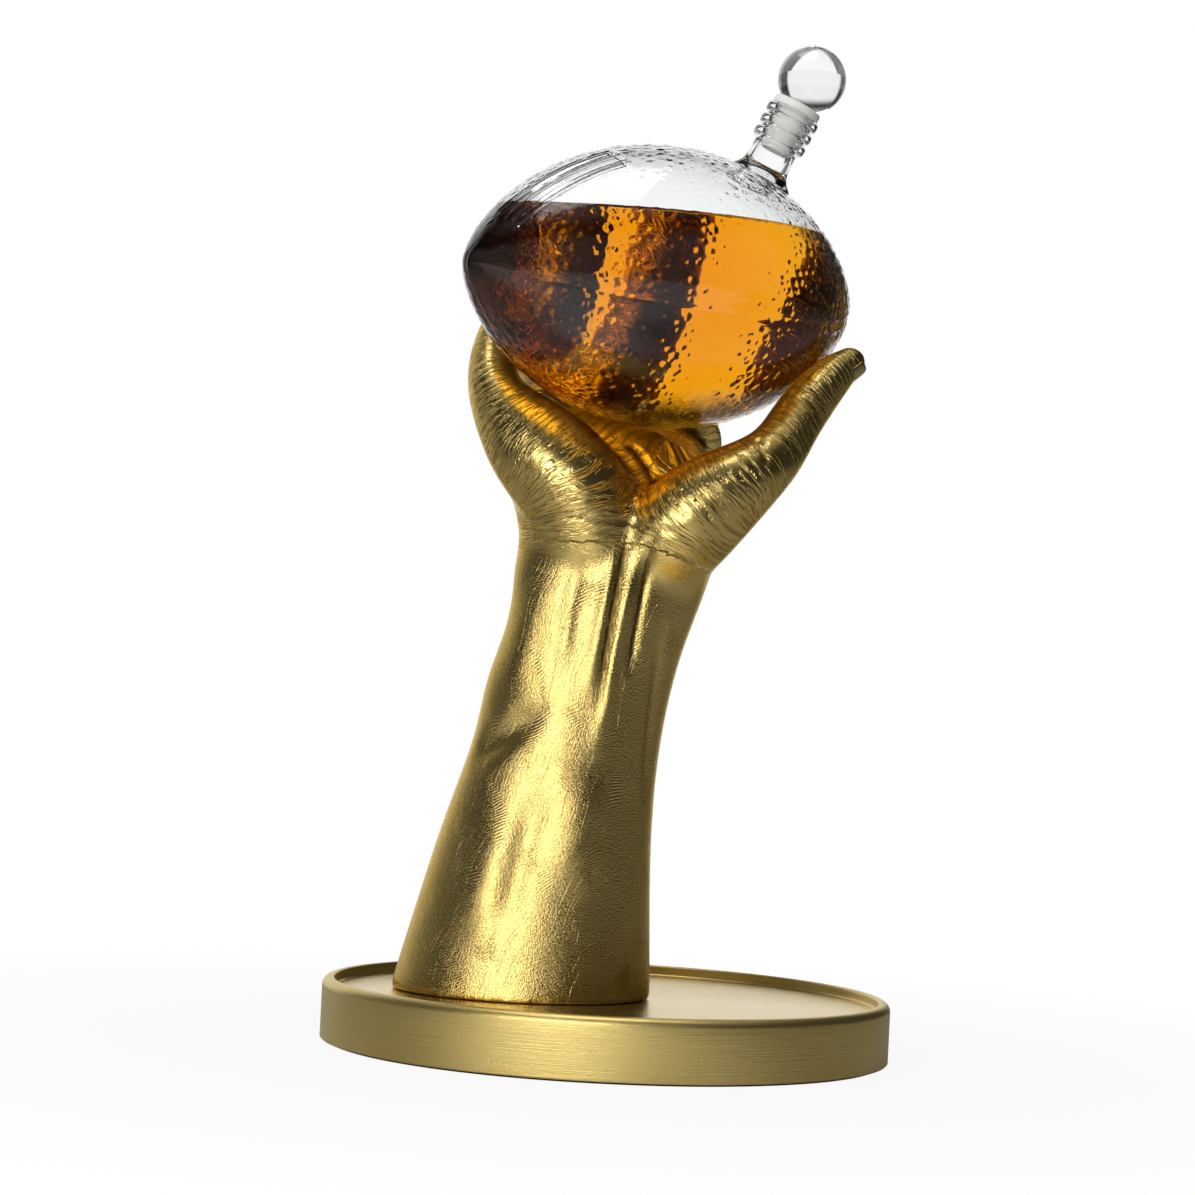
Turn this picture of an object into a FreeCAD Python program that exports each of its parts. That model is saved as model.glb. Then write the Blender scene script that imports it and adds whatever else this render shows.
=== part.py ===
import FreeCAD, Part
import math
import os
import Sketcher

from FreeCAD import Placement, Rotation, Vector

# Driving dimensions, in millimetres and degrees

SIZES = {
    # tray, board and felt
    "tray_diameter": 190.0,
    "tray_height": 21.0,
    "tray_foot": 0.8,
    "tray_sheet": 1.5,
    "rim_width": 4.0,
    "rim_rise": 3.5,
    "rim_outer_round": 3.0,
    "rim_inner_round": 0.9,
    "felt_thickness": 2.0,
    "board_clearance": 0.5,
    # three screws that hold the arm
    "bolt_circle_radius": 24.0,
    "screw_diameter": 6.0,
    "screw_head_diameter": 11.0,
    "screw_head_height": 3.5,
    "screw_socket_width": 4.0,
    "screw_socket_depth": 2.0,
    "screw_reach": 12.0,
    "screw_clearance": 0.3,
    "washer_diameter": 14.0,
    "washer_thickness": 1.2,
    "counterbore_clearance": 0.5,
    "head_sink": 1.0,
    "insert_diameter": 9.0,
    "insert_length": 14.0,
    "insert_fit": 0.05,
    # forearm from the tray floor to the wrist
    "forearm_length": 122.5,
    "tip_swell": 0.3,
    "joint_swell": 1.5,
    "pad_taper": 2.5,
    "limb_spacing": 7.0,
    "arm_spacing": 12.0,
    # glass ball on its seat in the palm, measured from the wrist
    "seat_x": 17.4,
    "seat_y": 17.0,
    "seat_rise": 70.1,
    "seat_clearance": 0.3,
    "ball_half_length": 79.2,
    "ball_radius": 48.0,
    "ball_tip_radius": 8.5,
    "ball_yaw": 35.0,
    "ball_pitch": 1.0,
    "ball_roll": 14.5,
    "glass_wall": 2.5,
    # neck
    "neck_station": 31.2,
    "neck_length": 24.9,
    "neck_diameter": 15.3,
    "neck_bore": 11.8,
    "neck_flare": 2.4,
    "neck_flare_length": 4.0,
    "ring_count": 3,
    "ring_diameter": 19.0,
    "ring_height": 2.6,
    "ring_pitch": 4.6,
    # liquor
    "liquor_level": 279.2,
    "liquor_gap": 0.1,
    # stopper
    "stopper_ball_diameter": 23.4,
    "stopper_ball_rise": 13.0,
    "peg_diameter": 8.0,
    "peg_length": 13.0,
    "flange_diameter": 17.0,
    "flange_thickness": 3.2,
    "sleeve_length": 15.0,
    "sleeve_clearance": 0.3,
    "sleeve_rib_depth": 0.7,
    "sleeve_rib_count": 4,
    "peg_fit": 0.05,
}

# Forearm sections, evenly spaced from the tray floor up: place, breadth and depth
FOREARM = {
    "arm_base": {"x": -28.9, "y": 3.0, "breadth": 87.2, "depth": 78.0},
    "arm_lower": {"x": -25.7, "y": 2.0, "breadth": 77.8, "depth": 67.0},
    "arm_middle": {"x": -21.7, "y": 1.0, "breadth": 68.6, "depth": 57.0},
    "arm_upper": {"x": -16.3, "y": 0.5, "breadth": 62.2, "depth": 49.0},
    "wrist": {"x": -10.5, "y": 1.0, "breadth": 64.2, "depth": 45.0},
}

# Hand sections from the wrist: place from the wrist, breadth, depth, turn in plan, lean back
PALM = {
    "wrist_crease": {"x": 7.0, "y": 2.0, "rise": 20.0, "breadth": 63.5, "depth": 44.0, "turn": 3.0, "lean": 12.0},
    "heel": {"x": 7.0, "y": 9.0, "rise": 38.0, "breadth": 70.0, "depth": 40.0, "turn": 10.0, "lean": 40.0},
    "palm": {"x": 2.5, "y": 24.0, "rise": 57.0, "breadth": 77.0, "depth": 33.0, "turn": 20.0, "lean": 58.0},
    "knuckles": {"x": -3.0, "y": 40.0, "rise": 67.0, "breadth": 78.0, "depth": 26.0, "turn": 29.0, "lean": 54.0},
    "knuckle_edge": {"x": -6.0, "y": 50.0, "rise": 74.0, "breadth": 70.0, "depth": 13.0, "turn": 31.0, "lean": 46.0},
}

# Thumb and little finger: step from the wrist to the root and from each place to the next, and girth there
THUMB = {
    "thumb_root": {"x": 20.5, "y": -5.0, "rise": 26.0, "girth": 33.0},
    "thumb_mount": {"x": 18.5, "y": -5.0, "rise": 20.0, "girth": 32.0},
    "thumb_knuckle": {"x": 15.5, "y": 3.0, "rise": 12.8, "girth": 22.5},
    "thumb_joint": {"x": 10.5, "y": 17.0, "rise": 15.3, "girth": 18.4},
    "thumb_pad": {"x": 10.0, "y": 11.0, "rise": 14.3, "girth": 16.0},
    "thumb_tip": {"x": 8.6, "y": 7.0, "rise": 8.0, "girth": 10.6},
}
LITTLE = {
    "little_root": {"x": -2.0, "y": -3.0, "rise": 22.0, "girth": 32.0},
    "little_mount": {"x": -6.5, "y": -3.0, "rise": 24.0, "girth": 37.0},
    "little_heel": {"x": -13.0, "y": 4.0, "rise": 14.0, "girth": 34.0},
    "little_knuckle": {"x": -10.0, "y": 7.0, "rise": 11.0, "girth": 25.0},
    "little_bone": {"x": -5.8, "y": 8.0, "rise": 10.0, "girth": 18.6},
    "little_joint": {"x": -1.2, "y": 9.5, "rise": 10.5, "girth": 16.4},
    "little_pad": {"x": 2.5, "y": 11.0, "rise": 12.0, "girth": 15.0},
    "little_tip": {"x": 2.5, "y": 9.5, "rise": 9.5, "girth": 12.0},
}

# Fingers that follow the glass: station along the ball, drift along it, angle at root and tip, girth, rise of the pad
FINGERS = {
    "ring_finger": {"station": -28.0, "drift": 29.0, "root": 30.0, "tip": 90.0, "girth": 20.0, "taper": 4.5, "pad": 13.0},
    "middle_finger": {"station": -6.0, "drift": 31.0, "root": 26.0, "tip": 91.0, "girth": 21.0, "taper": 4.5, "pad": 16.0},
    "index_finger": {"station": 30.0, "drift": 27.0, "root": 18.0, "tip": 88.0, "girth": 21.0, "taper": 4.5, "pad": 14.0},
}
FINGER_STATIONS = 5
PAD_DRIFT = 0.4
BOLT_ANGLES = (90, 210, 330)
BORE_OVERCUT = 3


def fill_sheet(doc):
    """Write every driving dimension into one sheet, a row each, with its name as alias."""
    sheet = doc.addObject("Spreadsheet::Sheet", "dim")
    rows = dict(SIZES)
    for group in (FOREARM, PALM, THUMB, LITTLE, FINGERS):
        for place, fields in group.items():
            for field, value in fields.items():
                rows[place + "_" + field] = value
    for row, (alias, value) in enumerate(rows.items(), start=1):
        sheet.set("A%d" % row, alias)
        sheet.set("B%d" % row, str(value))
        sheet.setAlias("B%d" % row, alias)
    doc.recompute()
    return sheet


doc = FreeCAD.newDocument("figural_decanter")
sheet = fill_sheet(doc)


def size(alias):
    return float(sheet.get(alias))


# Derived places

FLOOR = size("tray_height") - size("rim_rise")
ARM_BASE = Vector(size("arm_base_x"), size("arm_base_y"), FLOOR)
WRIST = Vector(size("wrist_x"), size("wrist_y"), FLOOR + size("forearm_length"))
SEAT = WRIST + Vector(size("seat_x"), size("seat_y"), size("seat_rise"))
BALL = Placement(
    SEAT + Vector(0, 0, size("ball_radius")),
    Rotation(size("ball_yaw"), size("ball_pitch"), size("ball_roll")),
)
BALL_LEVEL = Placement(BALL.Base, Rotation(size("ball_yaw"), size("ball_pitch"), 0))


def flank_radius():
    """Radius of the long arc that runs into both tip arcs."""
    reach = size("ball_half_length") - size("ball_tip_radius")
    tip = size("ball_tip_radius")
    crown = size("ball_radius")
    return (reach**2 + crown**2 - tip**2) / (2 * (crown - tip))


FLANK_DROP = flank_radius() - size("ball_radius")
NECK_TILT = math.degrees(math.asin(size("neck_station") / flank_radius()))
NECK_FOOT = Vector(size("neck_station"), 0, flank_radius() * math.cos(math.radians(NECK_TILT)) - FLANK_DROP)
NECK = BALL * Placement(NECK_FOOT, Rotation(Vector(0, 1, 0), NECK_TILT))


# Sketches and bodies


def new_body(label):
    body = doc.addObject("PartDesign::Body", label)
    body.Label = label
    return body


def new_sketch(body, name, role):
    plane = [item for item in body.Origin.OriginFeatures if item.Role == role][0]
    sketch = body.newObject("Sketcher::SketchObject", name)
    sketch.AttachmentSupport = (plane, [""])
    sketch.MapMode = "FlatFace"
    return sketch


def tie(sketch, constraint, expression):
    index = sketch.addConstraint(constraint)
    sketch.setExpression("Constraints[%d]" % index, expression)


def place_point(sketch, geometry, corner, across, up):
    """Hold one point of a sketch at two expressions; None puts it on that axis."""
    if across is None:
        sketch.addConstraint(Sketcher.Constraint("PointOnObject", geometry, corner, -2))
    else:
        tie(sketch, Sketcher.Constraint("DistanceX", -1, 1, geometry, corner, 1.0), across)
    if up is None:
        sketch.addConstraint(Sketcher.Constraint("PointOnObject", geometry, corner, -1))
    else:
        tie(sketch, Sketcher.Constraint("DistanceY", -1, 1, geometry, corner, 1.0), up)


def draw_outline(sketch, corners):
    """Closed outline of straight lines through corners given as expressions."""
    count = len(corners)
    start = [Vector(math.cos(math.tau * k / count), math.sin(math.tau * k / count), 0) for k in range(count)]
    lines = [sketch.addGeometry(Part.LineSegment(start[k], start[(k + 1) % count])) for k in range(count)]
    for k, line in enumerate(lines):
        sketch.addConstraint(Sketcher.Constraint("Coincident", line, 2, lines[(k + 1) % count], 1))
        place_point(sketch, line, 1, *corners[k])


def draw_circle(sketch, across, up, radius):
    circle = sketch.addGeometry(Part.Circle(Vector(1, 1, 0), Vector(0, 0, 1), 1.0))
    place_point(sketch, circle, 3, across, up)
    tie(sketch, Sketcher.Constraint("Radius", circle, 1.0), radius)


def revolve(body, sketch, kind, name, axis):
    feature = body.newObject("PartDesign::" + kind, name)
    feature.Profile = sketch
    feature.ReferenceAxis = (sketch, [axis])
    feature.Angle = 360.0
    doc.recompute()
    return feature


def round_edges(body, name, base, radius, wanted):
    """Round the circular edges of a feature whose radius and height are wanted."""
    names = []
    for index, edge in enumerate(base.Shape.Edges, start=1):
        if not isinstance(edge.Curve, Part.Circle):
            continue
        for ring, level in wanted:
            if abs(edge.Curve.Radius - ring) < 0.01 and abs(edge.Curve.Center.z - level) < 0.01:
                names.append("Edge%d" % index)
    fillet = body.newObject("PartDesign::Fillet", name)
    fillet.Base = (base, names)
    fillet.setExpression("Radius", radius)
    doc.recompute()
    return fillet


def bolt_places():
    """The three screw places under the arm, as pairs of expressions."""
    return [
        (
            "dim.arm_base_x + dim.bolt_circle_radius * cos(%d deg)" % angle,
            "dim.arm_base_y + dim.bolt_circle_radius * sin(%d deg)" % angle,
        )
        for angle in BOLT_ANGLES
    ]


def bolt_points():
    return [
        ARM_BASE + Rotation(Vector(0, 0, 1), angle) * Vector(size("bolt_circle_radius"), 0, 0)
        for angle in BOLT_ANGLES
    ]


def drill(body, name, radius, depth=None):
    """Round pockets upward from the ground at the screw places."""
    sketch = new_sketch(body, name + "_sketch", "XY_Plane")
    for across, up in bolt_places():
        draw_circle(sketch, across, up, radius)
    doc.recompute()
    before = body.Shape.Volume
    pocket = body.newObject("PartDesign::Pocket", name)
    pocket.Profile = sketch
    pocket.Reversed = True
    if depth is None:
        pocket.Type = "ThroughAll"
    else:
        pocket.Type = "Length"
        pocket.setExpression("Length", depth)
    doc.recompute()
    if pocket.Shape.Volume >= before:
        raise RuntimeError(name + " cuts nothing")
    return pocket


# Tray, board and felt

FLOOR_TEXT = "dim.tray_height - dim.rim_rise"
SHEET_TEXT = FLOOR_TEXT + " - dim.tray_sheet"


def make_tray():
    body = new_body("base_tray")
    sketch = new_sketch(body, "tray_outline", "XZ_Plane")
    outer = "dim.tray_diameter / 2"
    inner = outer + " - dim.rim_width"
    lining = outer + " - dim.tray_sheet"
    draw_outline(
        sketch,
        [
            (outer, "dim.tray_foot"),
            (outer, "dim.tray_height"),
            (inner, "dim.tray_height"),
            (inner, FLOOR_TEXT),
            (None, FLOOR_TEXT),
            (None, SHEET_TEXT),
            (lining, SHEET_TEXT),
            (lining, "dim.tray_foot"),
        ],
    )
    spun = revolve(body, sketch, "Revolution", "tray_spun", "V_Axis")
    radius = size("tray_diameter") / 2
    rim = size("tray_height")
    rounded = round_edges(body, "rim_round", spun, "dim.rim_outer_round", [(radius, rim)])
    round_edges(body, "rim_lip", rounded, "dim.rim_inner_round", [(radius - size("rim_width"), rim)])
    drill(body, "tray_screw_holes", "dim.screw_diameter / 2 + dim.screw_clearance")
    return body


def make_board():
    body = new_body("base_board")
    sketch = new_sketch(body, "board_outline", "XZ_Plane")
    edge = "dim.tray_diameter / 2 - dim.tray_sheet - dim.board_clearance"
    draw_outline(
        sketch,
        [
            (None, "dim.felt_thickness"),
            (edge, "dim.felt_thickness"),
            (edge, SHEET_TEXT),
            (None, SHEET_TEXT),
        ],
    )
    revolve(body, sketch, "Revolution", "board_turned", "V_Axis")
    drill(body, "board_screw_holes", "dim.screw_diameter / 2 + dim.screw_clearance")
    bore = "dim.washer_diameter / 2 + dim.counterbore_clearance"
    sink = "dim.felt_thickness + dim.head_sink + dim.screw_head_height + dim.washer_thickness"
    drill(body, "board_counterbores", bore, sink)
    return body


def make_felt():
    body = new_body("felt_pad")
    sketch = new_sketch(body, "felt_outline", "XZ_Plane")
    edge = "dim.tray_diameter / 2 - dim.tray_sheet - 2 * dim.board_clearance"
    draw_outline(
        sketch,
        [
            (None, None),
            (edge, None),
            (edge, "dim.felt_thickness"),
            (None, "dim.felt_thickness"),
        ],
    )
    revolve(body, sketch, "Revolution", "felt_cut", "V_Axis")
    return body


# Screws, washers and inserts

HEAD_BASE = "dim.felt_thickness + dim.head_sink"
HEAD_TOP = HEAD_BASE + " + dim.screw_head_height"


def set_place(item, across, up, level):
    item.setExpression("Placement.Base.x", across)
    item.setExpression("Placement.Base.y", up)
    item.setExpression("Placement.Base.z", level)


def cylinder(name, radius, height, across, up, level):
    item = doc.addObject("Part::Cylinder", name)
    item.setExpression("Radius", radius)
    item.setExpression("Height", height)
    set_place(item, across, up, level)
    return item


def pair(kind, name, base, tool):
    item = doc.addObject("Part::" + kind, name)
    item.Base = base
    item.Tool = tool
    return item


def group(label, members):
    item = doc.addObject("Part::Compound", label)
    item.Label = label
    item.Links = members
    return item


def make_screws():
    screws = []
    for k, (across, up) in enumerate(bolt_places()):
        radius = "dim.screw_head_diameter / 2"
        head = cylinder("screw_head_%d" % k, radius, "dim.screw_head_height", across, up, HEAD_BASE)
        reach = FLOOR_TEXT + " + dim.screw_reach - (" + HEAD_TOP + ")"
        shank = cylinder("screw_shank_%d" % k, "dim.screw_diameter / 2", reach, across, up, HEAD_TOP)
        blank = pair("Fuse", "screw_blank_%d" % k, head, shank)
        socket = doc.addObject("Part::Prism", "screw_socket_%d" % k)
        socket.Polygon = 6
        socket.setExpression("Circumradius", "dim.screw_socket_width / sqrt(3)")
        socket.setExpression("Height", "dim.screw_socket_depth")
        set_place(socket, across, up, HEAD_BASE)
        screws.append(pair("Cut", "screw_%d" % k, blank, socket))
    return group("arm_screws", screws)


def make_ring(name, outer, inner, height, across, up, level):
    rim = cylinder(name + "_rim", outer, height, across, up, level)
    bore = cylinder(name + "_bore", inner, height, across, up, level)
    return pair("Cut", name, rim, bore)


def make_washers():
    outer = "dim.washer_diameter / 2"
    inner = "dim.screw_diameter / 2 + dim.screw_clearance"
    rings = [
        make_ring("washer_%d" % k, outer, inner, "dim.washer_thickness", across, up, HEAD_TOP)
        for k, (across, up) in enumerate(bolt_places())
    ]
    return group("screw_washers", rings)


def make_inserts():
    outer = "dim.insert_diameter / 2"
    inner = "dim.screw_diameter / 2 + dim.insert_fit"
    rings = [
        make_ring("insert_%d" % k, outer, inner, "dim.insert_length", across, up, FLOOR_TEXT)
        for k, (across, up) in enumerate(bolt_places())
    ]
    return group("threaded_inserts", rings)


# Hand and forearm


def section(centre, breadth, depth, turn=0.0, lean=0.0):
    """Oval section; turn swings it in plan and lean tips its top backwards."""
    if breadth >= depth:
        edge = Part.Ellipse(Vector(0, 0, 0), breadth / 2, depth / 2).toShape()
    else:
        deep = Part.Ellipse(Vector(0, depth / 2, 0), Vector(-breadth / 2, 0, 0), Vector(0, 0, 0))
        edge = deep.toShape(-math.pi / 2, 1.5 * math.pi)
    oval = Part.Wire(edge)
    swing = Rotation(Vector(0, 0, 1), turn) * Rotation(Vector(1, 0, 0), -lean)
    oval.Placement = Placement(centre, swing)
    return oval


def even_rings(points, columns, spacing):
    """Points, directions and other values, spread evenly along a smooth line through the points."""
    line = Part.BSplineCurve()
    line.interpolate(points)
    marks = [line.parameter(point) for point in points]
    runs = []
    for column in columns:
        run = Part.BSplineCurve()
        run.interpolate(Points=[Vector(value, mark, 0) for value, mark in zip(column, marks)], Parameters=marks)
        runs.append(run)
    count = int(line.length() / spacing) + 2
    for k in range(count):
        mark = line.parameterAtDistance(line.length() * k / (count - 1))
        yield line.value(mark), Vector(*line.tangent(mark)[0]), [run.value(mark).x for run in runs]


def ray(points, girths):
    """Round limb through the points, with a ball of its own at the far end."""
    across = (points[-1] - points[0]).cross(Vector(0, 0, 1))
    wires = []
    for point, way, (girth,) in even_rings(points, [girths], size("limb_spacing")):
        wire = Part.Wire(Part.Circle(Vector(0, 0, 0), Vector(0, 0, 1), girth / 2).toShape())
        wire.Placement = Placement(point, Rotation(across, Vector(0, 1, 0), way, "ZXY"))
        wires.append(wire)
    limb = Part.makeLoft(wires, True)
    return limb.fuse(Part.makeSphere(girths[-1] / 2 + size("tip_swell"), points[-1]))


def palm_points():
    return [
        WRIST + Vector(size(name + "_x"), size(name + "_y"), size(name + "_rise"))
        for name in PALM
    ]


def limb_points(names):
    """Centres of a limb: each bone carries the next, from the wrist out."""
    points = [WRIST]
    for name in names:
        points.append(points[-1] + Vector(size(name + "_x"), size(name + "_y"), size(name + "_rise")))
    return points[1:]


def make_arm():
    """Forearm and palm in one run of ovals, upright on the tray and leaning back at the hand."""
    points = []
    for k, name in enumerate(FOREARM):
        level = FLOOR + size("forearm_length") * k / (len(FOREARM) - 1)
        points.append(Vector(size(name + "_x"), size(name + "_y"), level))
    points += palm_points()
    ovals = list(FOREARM) + list(PALM)
    breadths = [size(name + "_breadth") for name in ovals]
    depths = [size(name + "_depth") for name in ovals]
    turns = [0.0] * len(FOREARM) + [size(name + "_turn") for name in PALM]
    leans = [0.0] * len(FOREARM) + [size(name + "_lean") for name in PALM]
    rings = even_rings(points, [breadths, depths, turns, leans], size("arm_spacing"))
    return Part.makeLoft([section(point, *values) for point, way, values in rings], True)


def ball_radius_at(station):
    """Radius of the glass at a station along its length."""
    way = math.atan2(FLANK_DROP, size("ball_half_length") - size("ball_tip_radius"))
    if abs(station) < flank_radius() * math.cos(way):
        return math.sqrt(flank_radius() ** 2 - station**2) - FLANK_DROP
    tip = size("ball_tip_radius")
    past = abs(station) - (size("ball_half_length") - tip)
    return math.sqrt(max(tip**2 - past**2, 0.0))


def finger_points(name):
    """Centres of a finger that lies round the glass, from its root to its tip."""
    points = []
    girths = []
    for k in range(FINGER_STATIONS):
        share = k / (FINGER_STATIONS - 1)
        angle = math.radians(size(name + "_root") + share * (size(name + "_tip") - size(name + "_root")))
        swell = size("joint_swell") * math.sin(math.pi * share)
        girth = size(name + "_girth") - share * size(name + "_taper") + swell
        station = size(name + "_station") + share * size(name + "_drift")
        away = ball_radius_at(station) + girth / 2
        points.append(BALL_LEVEL * Vector(station, away * math.sin(angle), -away * math.cos(angle)))
        girths.append(girth)
    rise = size(name + "_pad")
    station += rise * PAD_DRIFT
    girth -= size("pad_taper")
    slant = flank_radius() / math.sqrt(flank_radius() ** 2 - station**2)
    points.append(BALL_LEVEL * Vector(station, ball_radius_at(station) + girth / 2 * slant, rise))
    girths.append(girth)
    return points, girths


def ball_face(growth):
    """Half the lengthwise section of the glass, grown evenly all round."""
    reach = size("ball_half_length") - size("ball_tip_radius")
    tip = size("ball_tip_radius") + growth
    flank = flank_radius() + growth
    way = math.atan2(FLANK_DROP, reach)
    join = Vector(reach + tip * math.cos(way), 0, tip * math.sin(way))
    half = way / 2
    near = Vector(reach + tip * math.cos(half), 0, tip * math.sin(half))
    end = Vector(reach + tip, 0, 0)
    crown = Vector(0, 0, flank - FLANK_DROP)
    other = [Vector(-point.x, 0, point.z) for point in (end, near, join)]
    edges = [
        Part.Arc(end, near, join).toShape(),
        Part.Arc(join, crown, other[2]).toShape(),
        Part.Arc(other[2], other[1], other[0]).toShape(),
        Part.LineSegment(other[0], end).toShape(),
    ]
    return Part.Face(Part.Wire(edges))


def ball_room(growth):
    """Room the glass takes at rest, and the room behind it through which it lifts past the fingertips."""
    rest = ball_face(growth).revolve(Vector(0, 0, 0), Vector(1, 0, 0), 360)
    rest.Placement = BALL
    level = ball_face(growth)
    level.Placement = BALL_LEVEL * Placement(Vector(0, 0, 0), Rotation(Vector(1, 0, 0), -90))
    return [rest, level.extrude(Vector(0, 0, size("ball_radius")))]


def make_hand():
    limbs = [ray(limb_points(group), [size(name + "_girth") for name in group]) for group in (THUMB, LITTLE)]
    limbs += [ray(*finger_points(name)) for name in FINGERS]
    cast = make_arm().multiFuse(limbs)
    cast = cast.cut(ball_room(size("seat_clearance")))
    bore = size("insert_diameter") / 2 + size("insert_fit")
    depth = size("insert_length") + size("insert_fit")
    cast = cast.cut([Part.makeCylinder(bore, depth, point) for point in bolt_points()])
    hand = doc.addObject("Part::Feature", "hand_casting")
    hand.Label = "hand_casting"
    hand.Shape = max(cast.Solids, key=lambda solid: solid.Volume)
    return hand


# Glass, liquor and stopper


def draw_ball(sketch, shrink, shrink_text):
    """Half outline of the ball, drawn in by the shrink, closed along its length."""
    reach = size("ball_half_length") - size("ball_tip_radius")
    tip = size("ball_tip_radius") - shrink
    flank = flank_radius() - shrink
    way = math.atan2(FLANK_DROP, reach)
    up = Vector(0, 0, 1)
    right = sketch.addGeometry(Part.ArcOfCircle(Part.Circle(Vector(reach, 0, 0), up, tip), 0, way))
    flank_circle = Part.Circle(Vector(0, -FLANK_DROP, 0), up, flank)
    middle = sketch.addGeometry(Part.ArcOfCircle(flank_circle, way, math.pi - way))
    left_circle = Part.Circle(Vector(-reach, 0, 0), up, tip)
    left = sketch.addGeometry(Part.ArcOfCircle(left_circle, math.pi - way, math.pi))
    closing = Part.LineSegment(Vector(-reach - tip, 0, 0), Vector(reach + tip, 0, 0))
    base = sketch.addGeometry(closing)
    crown = sketch.addGeometry(Part.Point(Vector(0, flank - FLANK_DROP, 0)))
    sketch.addConstraint(Sketcher.Constraint("Tangent", right, 2, middle, 1))
    sketch.addConstraint(Sketcher.Constraint("Tangent", middle, 2, left, 1))
    sketch.addConstraint(Sketcher.Constraint("Coincident", left, 2, base, 1))
    sketch.addConstraint(Sketcher.Constraint("Coincident", base, 2, right, 1))
    for arc, corner in ((right, 1), (left, 2)):
        sketch.addConstraint(Sketcher.Constraint("PointOnObject", arc, 3, -1))
        sketch.addConstraint(Sketcher.Constraint("PointOnObject", arc, corner, -1))
        tie(sketch, Sketcher.Constraint("Radius", arc, tip), "dim.ball_tip_radius - " + shrink_text)
    half = "dim.ball_half_length - " + shrink_text
    tie(sketch, Sketcher.Constraint("DistanceX", -1, 1, right, 1, reach + tip), half)
    tie(sketch, Sketcher.Constraint("DistanceX", left, 2, -1, 1, reach + tip), half)
    sketch.addConstraint(Sketcher.Constraint("PointOnObject", crown, 1, -2))
    sketch.addConstraint(Sketcher.Constraint("PointOnObject", crown, 1, middle))
    height = Sketcher.Constraint("DistanceY", -1, 1, crown, 1, flank - FLANK_DROP)
    tie(sketch, height, "dim.ball_radius - " + shrink_text)


def neck_sketch(body, name):
    """Sketch whose upright axis is the neck's, with its zero on the glass."""
    sketch = new_sketch(body, name, "XZ_Plane")
    turn = Rotation(Vector(0, 0, 1), -NECK_TILT)
    sketch.AttachmentOffset = Placement(Vector(NECK_FOOT.x, NECK_FOOT.z, 0), turn)
    return sketch


def neck_outline():
    """Outside of the neck, from inside the wall up to the rim."""
    tube = "dim.neck_diameter / 2"
    ring = "dim.ring_diameter / 2"
    flare = tube + " + dim.neck_flare"
    corners = [
        (None, "-dim.glass_wall / 2"),
        (flare, "-dim.glass_wall / 2"),
        (flare, "dim.neck_flare_length / 4"),
        (tube, "dim.neck_flare_length"),
    ]
    for k in reversed(range(int(size("ring_count")))):
        top = "dim.neck_length - %d * dim.ring_pitch" % k
        bottom = top + " - dim.ring_height"
        corners += [(tube, bottom), (ring, bottom), (ring, top), (tube, top)]
    corners.pop()
    corners.append((None, "dim.neck_length"))
    return corners


def make_bottle():
    body = new_body("decanter_bottle")
    outer = new_sketch(body, "glass_outline", "XZ_Plane")
    draw_ball(outer, 0.0, "0")
    doc.recompute()
    revolve(body, outer, "Revolution", "glass_blown", "H_Axis")
    neck = neck_sketch(body, "neck_outline")
    draw_outline(neck, neck_outline())
    revolve(body, neck, "Revolution", "neck_drawn", "V_Axis")
    inner = new_sketch(body, "hollow_outline", "XZ_Plane")
    draw_ball(inner, size("glass_wall"), "dim.glass_wall")
    doc.recompute()
    solid_volume = body.Shape.Volume
    revolve(body, inner, "Groove", "glass_hollow", "H_Axis")
    bore = neck_sketch(body, "bore_outline")
    start = "-%d * dim.glass_wall" % BORE_OVERCUT
    draw_outline(
        bore,
        [
            (None, start),
            ("dim.neck_bore / 2", start),
            ("dim.neck_bore / 2", "dim.neck_length + dim.glass_wall"),
            (None, "dim.neck_length + dim.glass_wall"),
        ],
    )
    hollow_volume = body.Shape.Volume
    revolve(body, bore, "Groove", "neck_hollow", "V_Axis")
    if not body.Shape.Volume < hollow_volume < solid_volume:
        raise RuntimeError("the glass is not hollow")
    body.Placement = BALL
    return body


def make_liquor():
    body = new_body("liquor_mass")
    sketch = new_sketch(body, "liquor_outline", "XZ_Plane")
    draw_ball(sketch, size("glass_wall") + size("liquor_gap"), "(dim.glass_wall + dim.liquor_gap)")
    doc.recompute()
    revolve(body, sketch, "Revolution", "liquor_turned", "H_Axis")
    body.Placement = BALL
    level = doc.addObject("Part::Box", "liquor_depth")
    for edge in ("Length", "Width"):
        level.setExpression(edge, "2 * dim.tray_diameter")
    level.setExpression("Height", "dim.liquor_level")
    level.setExpression("Placement.Base.x", "-dim.tray_diameter")
    level.setExpression("Placement.Base.y", "-dim.tray_diameter")
    liquor = pair("Common", "liquor", body, level)
    liquor.Label = "liquor"
    return liquor


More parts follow.
